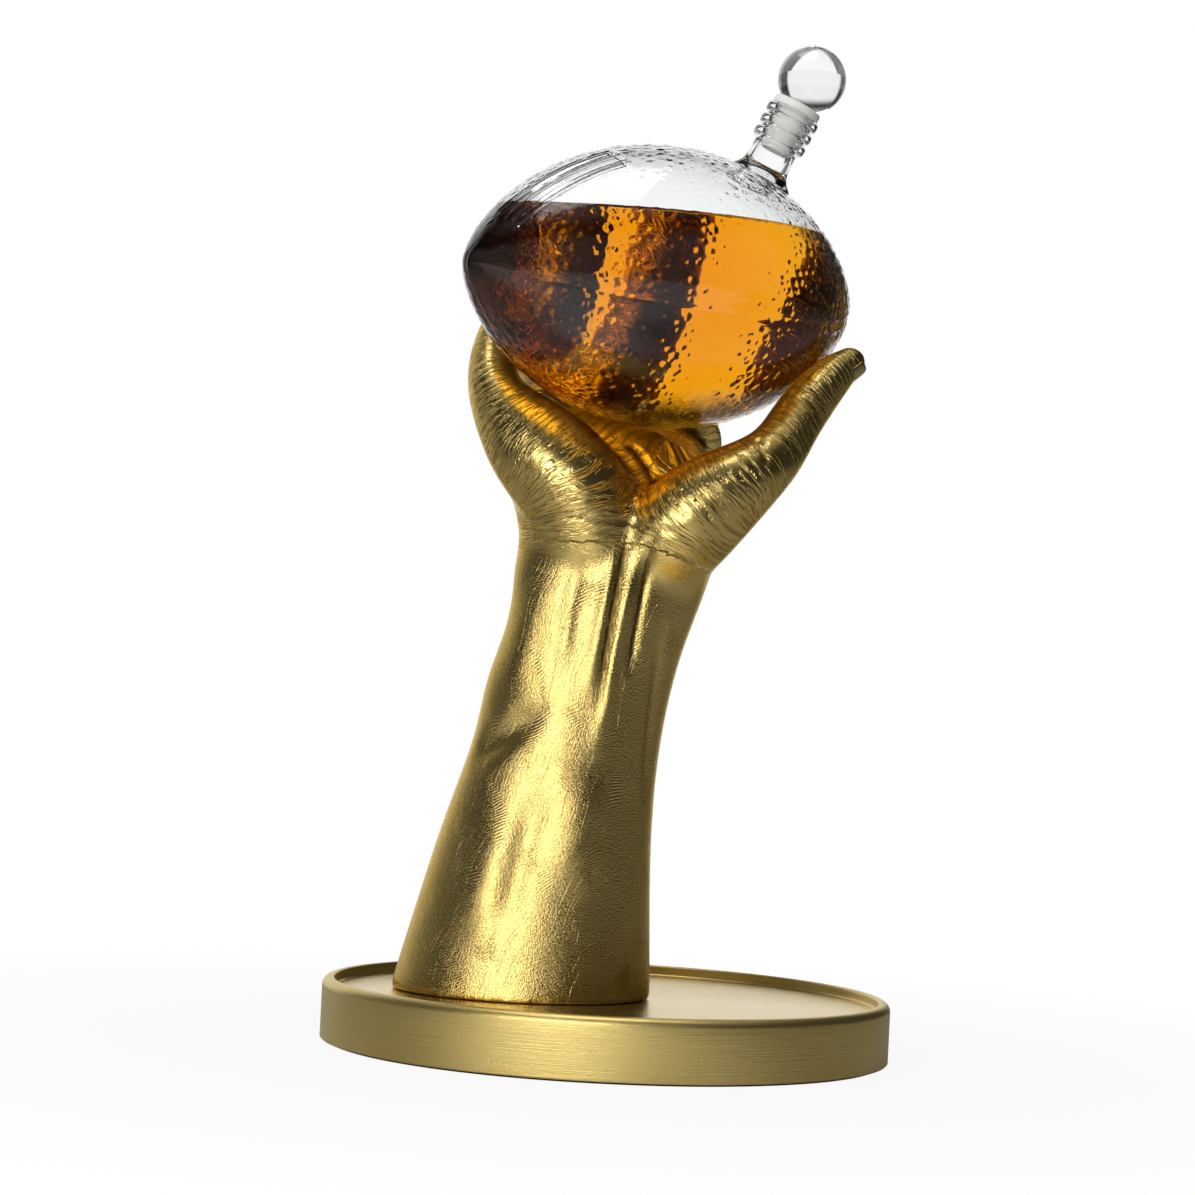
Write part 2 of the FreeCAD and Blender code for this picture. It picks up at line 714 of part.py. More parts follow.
def make_stopper_ball():
    body = new_body("stopper_ball")
    sketch = new_sketch(body, "stopper_outline", "XZ_Plane")
    radius = size("stopper_ball_diameter") / 2
    shoulder = size("neck_length") + size("flange_thickness")
    centre = size("neck_length") + size("stopper_ball_rise")
    peg = size("peg_diameter") / 2
    tip = size("neck_length") - size("peg_length")
    lip = math.sqrt(radius**2 - (centre - shoulder) ** 2)
    corners = [
        Vector(0, centre + radius, 0),
        Vector(0, tip, 0),
        Vector(peg, tip, 0),
        Vector(peg, shoulder, 0),
        Vector(lip, shoulder, 0),
    ]
    lines = [sketch.addGeometry(Part.LineSegment(a, b)) for a, b in zip(corners, corners[1:])]
    circle = Part.Circle(Vector(0, centre, 0), Vector(0, 0, 1), radius)
    start = math.atan2(shoulder - centre, lip)
    globe = sketch.addGeometry(Part.ArcOfCircle(circle, start, math.pi / 2))
    for one, other in zip(lines, lines[1:] + [globe]):
        sketch.addConstraint(Sketcher.Constraint("Coincident", one, 2, other, 1))
    sketch.addConstraint(Sketcher.Constraint("Coincident", globe, 2, lines[0], 1))
    place_point(sketch, globe, 3, None, "dim.neck_length + dim.stopper_ball_rise")
    tie(sketch, Sketcher.Constraint("Radius", globe, radius), "dim.stopper_ball_diameter / 2")
    place_point(sketch, lines[1], 1, None, "dim.neck_length - dim.peg_length")
    place_point(sketch, lines[2], 1, "dim.peg_diameter / 2", "dim.neck_length - dim.peg_length")
    top = "dim.neck_length + dim.flange_thickness"
    place_point(sketch, lines[3], 1, "dim.peg_diameter / 2", top)
    tie(sketch, Sketcher.Constraint("DistanceY", -1, 1, lines[3], 2, shoulder), top)
    sketch.addConstraint(Sketcher.Constraint("PointOnObject", globe, 2, -2))
    doc.recompute()
    revolve(body, sketch, "Revolution", "stopper_turned", "V_Axis")
    body.Placement = NECK
    return body


def make_sleeve():
    body = new_body("stopper_sleeve")
    sketch = new_sketch(body, "sleeve_outline", "XZ_Plane")
    inner = "dim.peg_diameter / 2 + dim.peg_fit"
    rib = "dim.neck_bore / 2 - dim.sleeve_clearance"
    root = rib + " - dim.sleeve_rib_depth"
    bottom = "dim.neck_length - dim.sleeve_length"
    corners = [(inner, bottom)]
    count = int(size("sleeve_rib_count"))
    for k in range(count):
        low = bottom + " + %d * dim.sleeve_length / %d" % (k, count)
        crest = low + " + dim.sleeve_length / %d" % (2 * count)
        corners += [(root, low), (rib, crest)]
    corners += [
        (root, "dim.neck_length"),
        ("dim.flange_diameter / 2", "dim.neck_length"),
        ("dim.flange_diameter / 2", "dim.neck_length + dim.flange_thickness"),
        (inner, "dim.neck_length + dim.flange_thickness"),
    ]
    draw_outline(sketch, corners)
    revolve(body, sketch, "Revolution", "sleeve_moulded", "V_Axis")
    body.Placement = NECK
    return body


NODES = [
    make_tray(),
    make_board(),
    make_felt(),
    make_screws(),
    make_washers(),
    make_inserts(),
    make_hand(),
    make_bottle(),
    make_liquor(),
    make_stopper_ball(),
    make_sleeve(),
]
doc.recompute()

for item in doc.Objects:
    if "Invalid" in item.State or "Error" in item.State:
        raise RuntimeError(item.Name + " failed: " + ", ".join(item.State))
for node in NODES:
    if node.Shape.isNull() or not node.Shape.isValid():
        raise RuntimeError(node.Label + " has no valid shape")

os.makedirs("parts", exist_ok=True)
for node in NODES:
    node.Shape.exportStep("parts/" + node.Label + ".step")
    box = node.Shape.BoundBox
    print(
        "%-18s %d solid(s) %9.1f mm3  x %.1f %.1f  y %.1f %.1f  z %.1f %.1f"
        % (node.Label, len(node.Shape.Solids), node.Shape.Volume,
           box.XMin, box.XMax, box.YMin, box.YMax, box.ZMin, box.ZMax)
    )
axis = NECK.Rotation.multVec(Vector(0, 0, 1))
rim = NECK.multVec(Vector(0, 0, size("neck_length")))
print("neck axis %.4f %.4f %.4f, rim at %.2f %.2f %.2f" % (*axis, *rim))
print("ball centre %.2f %.2f %.2f" % tuple(BALL.Base))
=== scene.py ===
import math

import bpy
import numpy as np
from mathutils import Euler, Matrix, Vector, kdtree
from mathutils.bvhtree import BVHTree


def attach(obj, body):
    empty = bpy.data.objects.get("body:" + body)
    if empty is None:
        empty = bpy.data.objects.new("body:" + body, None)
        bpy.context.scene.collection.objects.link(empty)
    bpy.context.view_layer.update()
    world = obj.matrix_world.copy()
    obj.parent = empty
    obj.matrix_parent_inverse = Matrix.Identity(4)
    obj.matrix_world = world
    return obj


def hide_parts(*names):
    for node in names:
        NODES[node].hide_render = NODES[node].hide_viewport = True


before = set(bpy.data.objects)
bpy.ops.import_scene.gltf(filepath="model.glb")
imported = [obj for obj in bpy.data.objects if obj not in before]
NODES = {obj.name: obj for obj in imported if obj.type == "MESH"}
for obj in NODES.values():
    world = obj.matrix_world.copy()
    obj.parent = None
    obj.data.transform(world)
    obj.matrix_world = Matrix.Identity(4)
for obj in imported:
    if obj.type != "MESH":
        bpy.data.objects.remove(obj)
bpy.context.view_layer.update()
MM = 0.001

# Sizes and places in millimetres, angles round the ball in degrees

TRAY_RADIUS = 95.0
TRAY_TOP = 21.0
TRAY_FLOOR = 17.5
TRAY_FOOT = 0.8
TRAY_SHEET = 1.5

BALL_CENTRE = Vector((6.9, 18.0, 258.1))
BALL_TURN = Euler((math.radians(14.5), math.radians(1), math.radians(35)))
BALL_HALF = 79.2
BALL_RADIUS = 48.0
BALL_TIP = 8.5
GLASS_WALL = 2.5
NECK_STATION = 31.2
NECK_LENGTH = 24.9
NECK_RADIUS = 7.65
NECK_BORE = 5.9
RING_RADIUS = 9.5
RING_CORNER = 0.9
RING_PITCH = 4.6
LACE_ANGLE = -6
LACE_RAIL = 6.2
LACE_END = 31.5
SEAM_ANGLES = (90, 180, -90)
DROP_COUNT = 4200
DROP_SHARE = 0.62
LIQUOR_LEVEL = 279.2
LIQUOR_LAP = 0.12

STOPPER_RADIUS = 11.7
STOPPER_RISE = 13.0
PEG_RADIUS = 4.0
PEG_LENGTH = 13.0
SLEEVE_BORE = 4.05
SLEEVE_LENGTH = 15.0
SLEEVE_RIBS = 4
RIB_GAP = 0.3

HAND_GRAIN = 1.05
SEAT_GAP = 0.3

# How often the wrist and its girth are eased

WRIST_PASSES = 82
GIRTH_PASSES = 70

# Camera: its place in metres, its focal length in pixels of the photograph, its sensor in millimetres

CAMERA_PLACE = (-0.0095, -1.2, 0.137)
FOCAL_PIXELS = 3577
PHOTO_PIXELS = 1195
SENSOR = 36.0

# Middle lines of the fingers, thumb and arm: place and girth, in millimetres

LIMBS = {
    "thumb": [(10, -4, 166, 33), (28.5, -9, 186, 32), (44, -6, 198.8, 22.5), (54.5, 11, 214.1, 18.4),
              (64.5, 22, 228.4, 16), (73.1, 29, 236.4, 10.6)],
    "little": [(-12.5, -2, 162, 32), (-19, -5, 186, 37), (-32, -1, 200, 34), (-42, 6, 211, 25),
               (-47.8, 14, 221, 18.6), (-49, 23.5, 231.5, 16.4), (-46.5, 34.5, 243.5, 15),
               (-44, 44, 253, 12)],
    "ring": [(-32.1, 23.4, 212.2, 20), (-33.2, 37.9, 219.2, 19.9), (-32.7, 50.1, 230, 19.2),
             (-29.8, 59.1, 243.6, 17.7), (-24.3, 64.2, 258.1, 15.5), (-19, 66.2, 271, 13)],
    "middle": [(-13.4, 35, 205.8, 21), (-14.8, 50.8, 214.8, 20.9), (-13.9, 63.4, 227.8, 20.2),
               (-10, 71.8, 243.1, 18.7), (-2.9, 75.6, 258.6, 16.5), (4.2, 77, 273.5, 14)],
    "index": [(21.3, 48.2, 206.8, 21), (19.5, 62.8, 216.1, 20.9), (20.5, 73.5, 229, 20.2),
              (25, 79.3, 243.1, 18.7), (32.7, 80.4, 255.8, 16.5), (39.5, 80.9, 271, 14)],
}
BACK_FINGERS = ("ring", "middle", "index")
KNUCKLES = ((1, 0.9), (2, 1.1), (3, 0.7))
FOREARM = [(-28.9, 3, 17.5, 82), (-25.7, 2, 48, 72), (-21.7, 1, 79, 62), (-16.3, 0.5, 109, 55),
           (-10.5, 1, 140, 54), (-3.5, 3, 160, 54), (-3.5, 8, 176, 56)]

# Lines drawn on the palm side, as x and z seen from the front, with their width and height

PALM_LINES = [
    ([(4.3, 175), (2.6, 164), (-0.1, 150.6), (-2.6, 135.7), (-4.9, 120.7), (-6.8, 105.8), (-8.5, 94.3)],
     2.7, 1.9),
    ([(-3.5, 172.6), (-5.4, 158.6), (-7.7, 143.7), (-9.9, 128.7), (-11.8, 113.8)], 2.4, 1.3),
    ([(0, 175.9), (-2, 163.8), (-4.3, 148.8), (-6.1, 132.2), (-7, 117.3), (-7.7, 105.8)], 1.4, -0.9),
    ([(7.9, 176.1), (6.5, 164.2), (4.9, 150.9), (3.2, 137.6), (1.9, 124.3)], 1.6, -1.0),
    ([(-14.9, 170.7), (-17, 158.1), (-19, 145.7), (-19.9, 131.5), (-20.1, 116.7)], 3.2, -1.2),
    ([(-21.4, 116), (-28.1, 111), (-36.2, 105.9), (-44.3, 99.4), (-49.7, 91.7)], 5.0, -1.9),
    ([(-27.4, 159.3), (-31.5, 142.5), (-34.9, 125.8), (-38.2, 114.4)], 7.0, 1.3),
    ([(-31.6, 83.3), (-37.3, 66.7), (-42.9, 48.4), (-47, 33.6)], 9.0, 1.6),
    ([(-24.2, 100.1), (-26.7, 83.6), (-30.1, 67.1), (-33.7, 49.1), (-37, 31.2)], 5.0, -1.6),
    ([(-9.3, 97.5), (-11.8, 81), (-13.6, 64.7), (-14.8, 50)], 8.0, 1.4),
    ([(13.9, 151.4), (12, 136.4), (10.6, 118), (9.3, 98), (8.9, 78.1)], 2.2, -1.1),
    ([(-34.3, 176.1), (-24.8, 177.2), (-13.3, 177), (-1.7, 176.4), (8.3, 175.1), (18.2, 172.2),
      (27.9, 167.6)], 1.1, -0.5),
    ([(-33.2, 172.3), (-23, 173), (-9.8, 172.9), (3.5, 172.3), (13.4, 170)], 0.9, -0.3),
    ([(14.2, 168.4), (20.3, 166.2), (25.9, 162.6)], 1.0, -0.4),
    ([(7.7, 190.4), (5.3, 196.2), (1.7, 201), (-2.5, 203.9)], 1.4, -1.4),
    ([(40.8, 207.3), (42.1, 203.8), (43.8, 199.8), (44.6, 195.9)], 1.2, -0.9),
    ([(54.4, 222.2), (58.1, 220.3), (62.4, 217.6)], 0.9, -0.7),
    ([(56.4, 225.6), (60.9, 223.4), (65.2, 221.1)], 0.9, -0.6),
]


# Workshop habits


def pick_only(piece):
    if bpy.context.object and bpy.context.object.mode != "OBJECT":
        bpy.ops.object.mode_set(mode="OBJECT")
    bpy.ops.object.select_all(action="DESELECT")
    if piece:
        piece.select_set(True)
        bpy.context.view_layer.objects.active = piece


def open_mesh(piece):
    pick_only(piece)
    bpy.ops.object.mode_set(mode="EDIT")
    bpy.ops.mesh.select_all(action="SELECT")


def close_mesh():
    bpy.ops.object.mode_set(mode="OBJECT")


def work(piece, kind, **settings):
    """Give a piece one modifier and apply it."""
    pick_only(piece)
    step = piece.modifiers.new(kind.lower(), kind)
    for name, value in settings.items():
        setattr(step, name, value)
    bpy.ops.object.modifier_apply(modifier=step.name)


def read_points(piece, what="co"):
    values = np.empty(len(piece.data.vertices) * 3)
    piece.data.vertices.foreach_get(what, values)
    return values.reshape(-1, 3)


def write_points(piece, points):
    piece.data.vertices.foreach_set("co", points.ravel())
    piece.data.update()


def note(piece, name, values):
    """Keep one number or vector per point of a piece for its finish to read."""
    kind, field = ("FLOAT", "value") if values.ndim == 1 else ("FLOAT_VECTOR", "vector")
    layer = piece.data.attributes.new(name, kind, "POINT")
    layer.data.foreach_set(field, values.astype(np.float32).ravel())


def turned(name, outline, steps):
    """Draw half an outline of radius and height from one point, and spin it round the upright axis."""
    pick_only(None)
    bpy.ops.mesh.primitive_plane_add(size=MM)
    piece = bpy.context.object
    piece.name = name
    open_mesh(piece)
    bpy.ops.mesh.merge(type="CENTER")
    bpy.ops.transform.translate(value=(outline[0][0] * MM, 0, outline[0][1] * MM))
    for (near, low), (far, high) in zip(outline, outline[1:]):
        move = {"value": ((far - near) * MM, 0, (high - low) * MM)}
        bpy.ops.mesh.extrude_vertices_move(TRANSFORM_OT_translate=move)
    bpy.ops.mesh.select_all(action="SELECT")
    bpy.ops.mesh.spin(steps=steps, angle=math.tau, center=(0, 0, 0), axis=(0, 0, 1))
    bpy.ops.mesh.select_all(action="SELECT")
    bpy.ops.mesh.remove_doubles(threshold=1e-6)
    bpy.ops.mesh.normals_make_consistent(inside=False)
    close_mesh()
    return piece


def round_corner(centre, radius, start, end, count):
    """Points on an arc of an outline, from one angle to another in degrees."""
    angles = np.radians(np.linspace(start, end, count))
    return [(centre[0] + radius * math.cos(a), centre[1] + radius * math.sin(a)) for a in angles]


def settle(piece, place):
    """Put a piece in its place, with that place in its mesh."""
    piece.data.transform(place)
    piece.data.update()


def smooth(piece, angle):
    pick_only(piece)
    bpy.ops.object.shade_smooth_by_angle(angle=math.radians(angle))


def mount(piece, body, slot, finish, *nodes):
    """Let a piece ride on its body, in its finish, for the solids it stands for."""
    piece.data.materials.clear()
    piece.data.materials.append(finish)
    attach(piece, body)
    if nodes:
        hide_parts(*nodes)


def smoothstep(values, low, high):
    share = np.clip((values - low) / (high - low), 0, 1)
    return share * share * (3 - 2 * share)


def follow(points, line):
    """For each point: its distance to a line of straight runs, the length along the line,
    the nearest run and the share of that run; then the whole length."""
    line = np.asarray(line, float)
    best = np.full(len(points), 1e9)
    length = np.zeros(len(points))
    run = np.zeros(len(points), int)
    share = np.zeros(len(points))
    start = 0.0
    for k, (a, b) in enumerate(zip(line[:-1, :3], line[1:, :3])):
        way = b - a
        span = np.linalg.norm(way)
        part = np.clip((points - a) @ way / span**2, 0, 1)
        gap = np.linalg.norm(points - a - part[:, None] * way, axis=1)
        closer = gap < best
        best[closer] = gap[closer]
        length[closer] = start + part[closer] * span
        run[closer] = k
        share[closer] = part[closer]
        start += span
    return best, length, run, share, start


# Finishes


class Flow:
    """One socket of a finish. Sums and products of flows and numbers add Math nodes."""

    def __init__(self, finish, socket):
        self.finish = finish
        self.socket = socket

    def reckon(self, operation, *values):
        return self.finish.add("ShaderNodeMath", {"operation": operation}, dict(enumerate(values)))

    def __add__(self, other):
        return self.reckon("ADD", self, other)

    def __mul__(self, other):
        return self.reckon("MULTIPLY", self, other)

    def __sub__(self, other):
        return self.reckon("SUBTRACT", self, other)

    def __rsub__(self, other):
        return self.reckon("SUBTRACT", other, self)

    def __pow__(self, other):
        return self.reckon("POWER", self, other)

    def __abs__(self):
        return self.reckon("ABSOLUTE", self)

    __radd__ = __add__
    __rmul__ = __mul__


class Finish:
    """A material under construction."""

    def __init__(self, name, tree=None):
        self.material = None
        if tree is None:
            self.material = bpy.data.materials.new(name)
            self.material.use_nodes = True
            tree = self.material.node_tree
        self.tree = tree
        self.tree.nodes.clear()

    def add(self, kind, settings=None, sockets=None, output=0):
        """Add one node: its settings first, then the values or flows of its sockets."""
        node = self.tree.nodes.new(kind)
        for name, value in (settings or {}).items():
            setattr(node, name, value)
        for name, value in (sockets or {}).items():
            if isinstance(value, Flow):
                self.tree.links.new(value.socket, node.inputs[name])
            else:
                node.inputs[name].default_value = value
        return Flow(self, node.outputs[output]) if node.outputs else None

    def band(self, value, low, high):
        """0 below low, 1 above high, and smooth between."""
        sockets = {0: value, 1: low, 2: high, 3: 0.0, 4: 1.0}
        return self.add("ShaderNodeMapRange", {"interpolation_type": "SMOOTHSTEP"}, sockets)

    def mix(self, share, one, other):
        sockets = {0: share, 6: one, 7: other}
        return self.add("ShaderNodeMix", {"data_type": "RGBA"}, sockets, 2)

    def apart(self, vector):
        """The x, y and z of a vector."""
        node = self.add("ShaderNodeSeparateXYZ", None, {0: vector}).socket.node
        return [Flow(self, socket) for socket in node.outputs]

    def rays(self, *names):
        """What the light path says of each ray."""
        node = self.add("ShaderNodeLightPath").socket.node
        return [Flow(self, node.outputs[name]) for name in names]

    def unturned(self):
        """0 for rays that the full glass has thrown back on their way, else 1."""
        thrown, passed = self.rays("Glossy Depth", "Transmission Depth")
        return 1 - self.band(thrown * self.band(passed, 4.4, 4.6), 0.4, 0.6)

    def scaled(self, vector, scale):
        return self.add("ShaderNodeVectorMath", {"operation": "MULTIPLY"}, {0: vector, 1: scale})

    def grain(self, vector, scale=1.0, detail=2.0, roughness=0.5):
        sockets = {"Vector": vector, "Scale": scale, "Detail": detail, "Roughness": roughness}
        return self.add("ShaderNodeTexNoise", None, sockets)

    def object_place(self):
        return self.add("ShaderNodeTexCoord", None, None, "Object")

    def noted(self, name, output):
        return self.add("ShaderNodeAttribute", {"attribute_name": name}, None, output)

    def raised(self, height, distance):
        return self.add("ShaderNodeBump", None, {"Height": height, "Distance": distance, "Strength": 1.0})

    def done(self, **sockets):
        """Close the finish with its surface shader."""
        sockets = {name.replace("_", " "): value for name, value in sockets.items()}
        shader = self.add("ShaderNodeBsdfPrincipled", None, sockets)
        self.add("ShaderNodeOutputMaterial", None, {"Surface": shader})
        return self.material


def cast_gold():
    """Satin gold on cast skin: fine strokes round the fingers, a hammered grain on the arm, both darker in
    their grooves, and painted shade darkening the hollows and the fingers behind the ball.
    """
    f = Finish("cast_gold")
    place = f.object_place()
    wander = f.add("ShaderNodeTexNoise", None, {"Vector": place, "Scale": 42.0, "Detail": 1.0}, "Color")
    drift = {0: wander, 1: (0.01, 0.01, 0), 2: f.noted("skin_way", "Vector")}
    wander = f.add("ShaderNodeVectorMath", {"operation": "MULTIPLY_ADD"}, drift)
    hand = f.noted("hand_share", "Fac")
    # hollow: painted shade, dark in the hollows and on the fingers behind the ball
    hollow = f.noted("hollow", "Fac")
    long_strokes = f.grain(f.scaled(wander, (85, 1250, 40)), detail=2.0, roughness=0.6)
    fine_strokes = f.grain(f.scaled(wander, (240, 3000, 40)), detail=1.0)
    cuts = f.band(long_strokes, 0.36, 0.52) * 0.8 + fine_strokes * 0.3
    cast = f.grain(place, 1500, 2.0, 0.7)
    slant = f.add("ShaderNodeVectorRotate", {"rotation_type": "Z_AXIS"}, {"Vector": wander, "Angle": 0.95})
    run = f.apart(slant)[0]
    hatch = run.reckon("SINE", run * 6000) * 0.5 + 0.5
    patches = f.band(f.grain(f.scaled(slant, (70, 130, 30)), detail=0.0), 0.52, 0.80)
    streaks = f.band(f.grain(f.scaled(wander, (1300, 45, 30)), detail=2.0), 0.30, 0.42)
    arm = cast * 0.75 + (hatch - 0.5) * patches * 0.3 + streaks * 0.16
    height = cuts * hand + arm * (1 - hand)
    tone = f.grain(place, 38, 3.0)
    gold = f.mix(tone, (0.62, 0.445, 0.13, 1), (0.76, 0.575, 0.215, 1))
    # The colour is darker where the arm's grain, hatch and streaks sink, and in the grooves of the hand's
    # strokes
    arm_grain_dark = (0.5 - hatch) * patches * 0.4 + (1 - streaks) * 0.2 + (0.5 - cast) * 0.9
    scored = (1 - cuts) * hand * 0.55 + arm_grain_dark * (1 - hand)
    # Painted shade turns the gold dark brown in the hollows and behind the ball; the grooves of the strokes
    # and the grain are darker too
    shade = f.mix(f.band(hollow + scored, 0.08, 0.95), gold, (0.13, 0.085, 0.022, 1))
    rough = 0.25 + hollow * 0.12
    return f.done(
        Base_Color=shade, Metallic=1.0, Roughness=rough, Specular_Tint=(0.95, 0.82, 0.55, 1),
        Normal=f.raised(height, 0.00028),
    )


def polished_gold():
    """Smooth gold of the fingernails."""
    f = Finish("polished_gold")
    place = f.object_place()
    tone = f.grain(place, 120, 2.0)
    gold = f.mix(tone, (0.58, 0.435, 0.16, 1), (0.74, 0.585, 0.27, 1))
    return f.done(Base_Color=gold, Metallic=1.0, Roughness=0.22 + tone * 0.08, Normal=f.raised(tone, 0.0001))


def brushed_gold():
    """Satin gold sheet, brushed round the tray."""
    f = Finish("brushed_gold")
    place = f.object_place()
    x, y, z = f.apart(place)
    turn = x.reckon("ARCTAN2", y, x)
    reach = (x * x + y * y) ** 0.5
    along = f.add("ShaderNodeCombineXYZ", None, {0: turn * 3.0, 1: z * 2600, 2: reach * 2600})
    brush = f.grain(along, 1.0, 3.0, 0.65)
    speck = f.grain(place, 900, 2.0)
    tone = f.grain(place, 30, 2.0)
    gold = f.mix(brush * 0.6 + tone * 0.4, (0.60, 0.44, 0.13, 1), (0.80, 0.63, 0.25, 1))
    floor = (1 - f.band(z, 0.0180, 0.0184)) * (1 - f.band(reach, 0.0902, 0.0908))
    rough = 0.32 + brush * 0.12 - floor * 0.14
    normal = f.raised(brush + speck * 0.5, 0.00008)
    return f.done(Base_Color=gold, Metallic=1.0, Roughness=rough, Normal=normal)


def pebbled_glass():
    """Clear glass with small drops between the large ones of the mesh, and the lace's thin lines."""
    f = Finish("pebbled_glass")
    place = f.object_place()
    drops = f.noted("drops", "Fac")
    sockets = {"Vector": place, "Scale": 300.0, "Smoothness": 0.3}
    cells = f.add("ShaderNodeTexVoronoi", {"feature": "SMOOTH_F1"}, sockets)
    bead = 1 - f.band(cells, 0.08, 0.36)
    swirl = f.grain(place, 60, 2.0)
    turned_in = {"Vector": place, "Location": BALL_CENTRE * MM, "Rotation": BALL_TURN}
    along, y, z = f.apart(f.add("ShaderNodeMapping", {"vector_type": "TEXTURE"}, turned_in))
    turn = y.reckon("ARCTAN2", y, z) - math.radians(LACE_ANGLE)
    across = abs(turn * (y * y + z * z) ** 0.5)
    hairline = (0.0001, 0.0007)
    rails = 1 - f.band(abs(across - LACE_RAIL * MM), *hairline)
    groove = 1 - f.band(across, *hairline)
    stop = (1 - f.band(abs(along + LACE_END * MM), *hairline)) * (1 - f.band(across, 0.0060, 0.0064))
    run = f.band(along, -0.068, -0.066) * (1 - f.band(along, -0.0318, -0.0312))
    lines = (rails + groove * 0.6) * run + stop
    height = bead * drops * 0.12 + swirl * 0.2 * drops - lines * 0.45
    return f.done(
        Base_Color=(0.985, 0.992, 0.99, 1), Roughness=0.0, IOR=1.5, Transmission_Weight=1.0,
        Specular_Tint=(0.35, 0.35, 0.35, 1), Normal=f.raised(height, 0.0005),
    )


def plain_glass():
    f = Finish("plain_glass")
    swirl = f.grain(f.object_place(), 45, 1.0)
    return f.done(
        Base_Color=(0.985, 0.992, 0.99, 1), Roughness=0.0, IOR=1.5, Transmission_Weight=1.0,
        Normal=f.raised(swirl, 0.00012),
    )


def amber_liquor():
    """Clear amber drink: its colour comes from its depth."""
    f = Finish("amber_liquor")
    swirl = f.grain(f.object_place(), 25, 1.0)
    shader = f.add(
        "ShaderNodeBsdfPrincipled", None,
        {"Base Color": (1, 0.97, 0.92, 1), "Roughness": 0.0, "IOR": 1.36, "Transmission Weight": 1.0,
         "Normal": f.raised(swirl, 0.0001)},
    )
    depth = f.add("ShaderNodeVolumeAbsorption", None, {"Color": (0.991, 0.805, 0.01, 1), "Density": 60.0})
    f.add("ShaderNodeOutputMaterial", None, {"Surface": shader, "Volume": depth})
    return f.material


def milky_plastic():
    f = Finish("milky_plastic")
    place = f.object_place()
    cloud = f.grain(place, 220, 3.0)
    colour = f.mix(cloud, (0.93, 0.92, 0.87, 1), (0.98, 0.975, 0.945, 1))
    return f.done(
        Base_Color=colour, Roughness=0.3, IOR=1.2, Transmission_Weight=0.4, Normal=f.raised(cloud, 0.00008),
    )


def black_felt():
    f = Finish("black_felt")
    place = f.object_place()
    fibre = f.grain(place, 1600, 4.0, 0.7)
    lint = f.grain(place, 420, 2.0)
    colour = f.mix(fibre * 0.7 + lint * 0.3, (0.012, 0.012, 0.013, 1), (0.06, 0.06, 0.062, 1))
    return f.done(Base_Color=colour, Roughness=0.95, Sheen_Weight=0.4, Normal=f.raised(fibre, 0.0005))


def fibreboard():
    f = Finish("fibreboard")
    place = f.object_place()
    chips = f.grain(place, 700, 4.0, 0.7)
    colour = f.mix(chips, (0.30, 0.20, 0.11, 1), (0.50, 0.37, 0.23, 1))
    return f.done(Base_Color=colour, Roughness=0.8, Normal=f.raised(chips, 0.0002))


def zinc_steel():
    f = Finish("zinc_steel")
    bloom = f.grain(f.object_place(), 500, 3.0)
    colour = f.mix(bloom, (0.48, 0.49, 0.50, 1), (0.66, 0.67, 0.68, 1))
    return f.done(Base_Color=colour, Metallic=1.0, Roughness=0.3 + bloom * 0.2)


def machined_brass():
    f = Finish("machined_brass")
    marks = f.grain(f.scaled(f.object_place(), (400, 400, 4000)), 1.0, 2.0)
    colour = f.mix(marks, (0.62, 0.46, 0.18, 1), (0.78, 0.62, 0.30, 1))
    return f.done(Base_Color=colour, Metallic=1.0, Roughness=0.25 + marks * 0.15)


# Tray


def make_tray(finish):
    inner = TRAY_RADIUS - 4.0
    lining = TRAY_RADIUS - TRAY_SHEET
    under = TRAY_FLOOR - TRAY_SHEET
    outline = [(0, under), (lining - 0.6, under), (lining, TRAY_FLOOR - 2.1)]
    outline += [(lining, TRAY_FOOT), (TRAY_RADIUS - 0.4, TRAY_FOOT), (TRAY_RADIUS, TRAY_FOOT + 0.4)]
    outline += [(TRAY_RADIUS, 4.0), (TRAY_RADIUS, 9.0), (TRAY_RADIUS, 14.0)]
    outline += round_corner((TRAY_RADIUS - 2.9, TRAY_TOP - 2.9), 2.9, 0, 90, 10)
    outline += round_corner((inner + 0.9, TRAY_TOP - 0.9), 0.9, 90, 180, 6)
    outline += round_corner((inner - 1.0, TRAY_FLOOR + 1.0), 1.0, 0, -90, 5)
    outline += [(inner - 12, TRAY_FLOOR), (60, TRAY_FLOOR), (30, TRAY_FLOOR), (0, TRAY_FLOOR)]
    tray = turned("tray", outline, 256)
    smooth(tray, 35)
    mount(tray, "stand", "tray_brass", finish, "base_tray")


# Glass ball, its drops, seams and neck


BALL = Matrix.Translation(BALL_CENTRE * MM) @ BALL_TURN.to_matrix().to_4x4()
BALL_REACH = BALL_HALF - BALL_TIP
FLANK = (BALL_REACH**2 + BALL_RADIUS**2 - BALL_TIP**2) / (2 * (BALL_RADIUS - BALL_TIP))
FLANK_DROP = FLANK - BALL_RADIUS
TIP_TURN = math.atan2(FLANK_DROP, BALL_REACH)
NECK_TILT = math.asin(NECK_STATION / FLANK)
NECK_FOOT = Vector((NECK_STATION, 0, FLANK * math.cos(NECK_TILT) - FLANK_DROP))
NECK = BALL @ Matrix.Translation(NECK_FOOT * MM) @ Matrix.Rotation(NECK_TILT, 4, "Y")


def ball_girth(station):
    """Radius of the ball at stations along it, in millimetres."""
    reach = np.abs(station)
    flank = np.sqrt(np.maximum(FLANK**2 - reach**2, 0)) - FLANK_DROP
    tip = np.sqrt(np.maximum(BALL_TIP**2 - (reach - BALL_REACH) ** 2, 0))
    return np.where(reach < BALL_REACH + BALL_TIP * math.cos(TIP_TURN), flank, tip)


